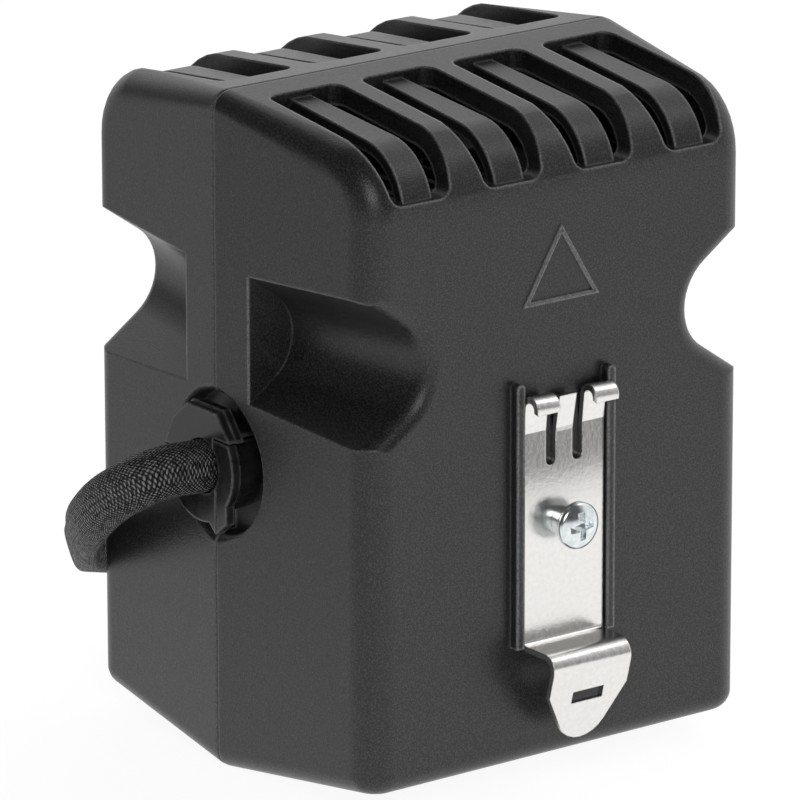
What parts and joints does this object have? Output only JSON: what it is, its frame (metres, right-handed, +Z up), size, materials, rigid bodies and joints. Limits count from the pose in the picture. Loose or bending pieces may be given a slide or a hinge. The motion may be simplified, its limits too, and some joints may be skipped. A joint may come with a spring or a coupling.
{
  "type": "enclosure heater",
  "caption": "Convection heater in a split moulded housing with a wrap-over roof grille, finger notches, a spring clip for a top-hat rail and a flat braided lead.",
  "frame": {"origin": "middle of the rail seat on the outer face of the clip's plate", "axes": "+X along the rail, to the right seen from behind the heater; +Y into the housing; +Z up"},
  "size_m": [0.1318, 0.1224, 0.0978],
  "materials": {
    "housing": "finely textured flame-retardant plastic, dark grey",
    "clip_steel": "bright nickel-plated spring steel",
    "screw_steel": "bright zinc-plated steel",
    "clamp_plastic": "smooth black plastic",
    "sink_aluminium": "plain extruded",
    "film": "amber film",
    "electrode_metal": "rolled sheet",
    "stone": "sintered, silvered faces",
    "frame_plastic": "moulded",
    "silicone": "red-brown silicone",
    "crimp_brass": "tin-plated",
    "wire_insulation": "silicone-insulated strand",
    "braid": "tightly woven flat sleeve",
    "shrink": "heat-shrink tube",
    "ferrule_metal": "tin-plated copper"
  },
  "bodies": {
    "root": {"rear_shell": "housing", "front_shell": "housing", "din_clip": "clip_steel", "clip_screw": "screw_steel", "clamp_cap": "clamp_plastic", "clamp_jaw_rear": "clamp_plastic", "clamp_jaw_front": "clamp_plastic", "heat_sink": "sink_aluminium", "insulating_film": "film", "electrode_rear": "electrode_metal", "electrode_front": "electrode_metal", "ptc_stone_lower": "stone", "ptc_stone_middle": "stone", "ptc_stone_upper": "stone", "stone_frame": "frame_plastic", "end_plug_top": "silicone", "end_plug_bottom": "silicone", "crimp_live": "crimp_brass", "crimp_neutral": "crimp_brass", "wire_live": "wire_insulation", "wire_neutral": "wire_insulation", "wire_end_live": "wire_insulation", "wire_end_neutral": "wire_insulation", "lead_sleeve": "braid", "lead_shrink": "shrink", "ferrule_live": "ferrule_metal", "ferrule_neutral": "ferrule_metal"}
  },
  "joints": []
}
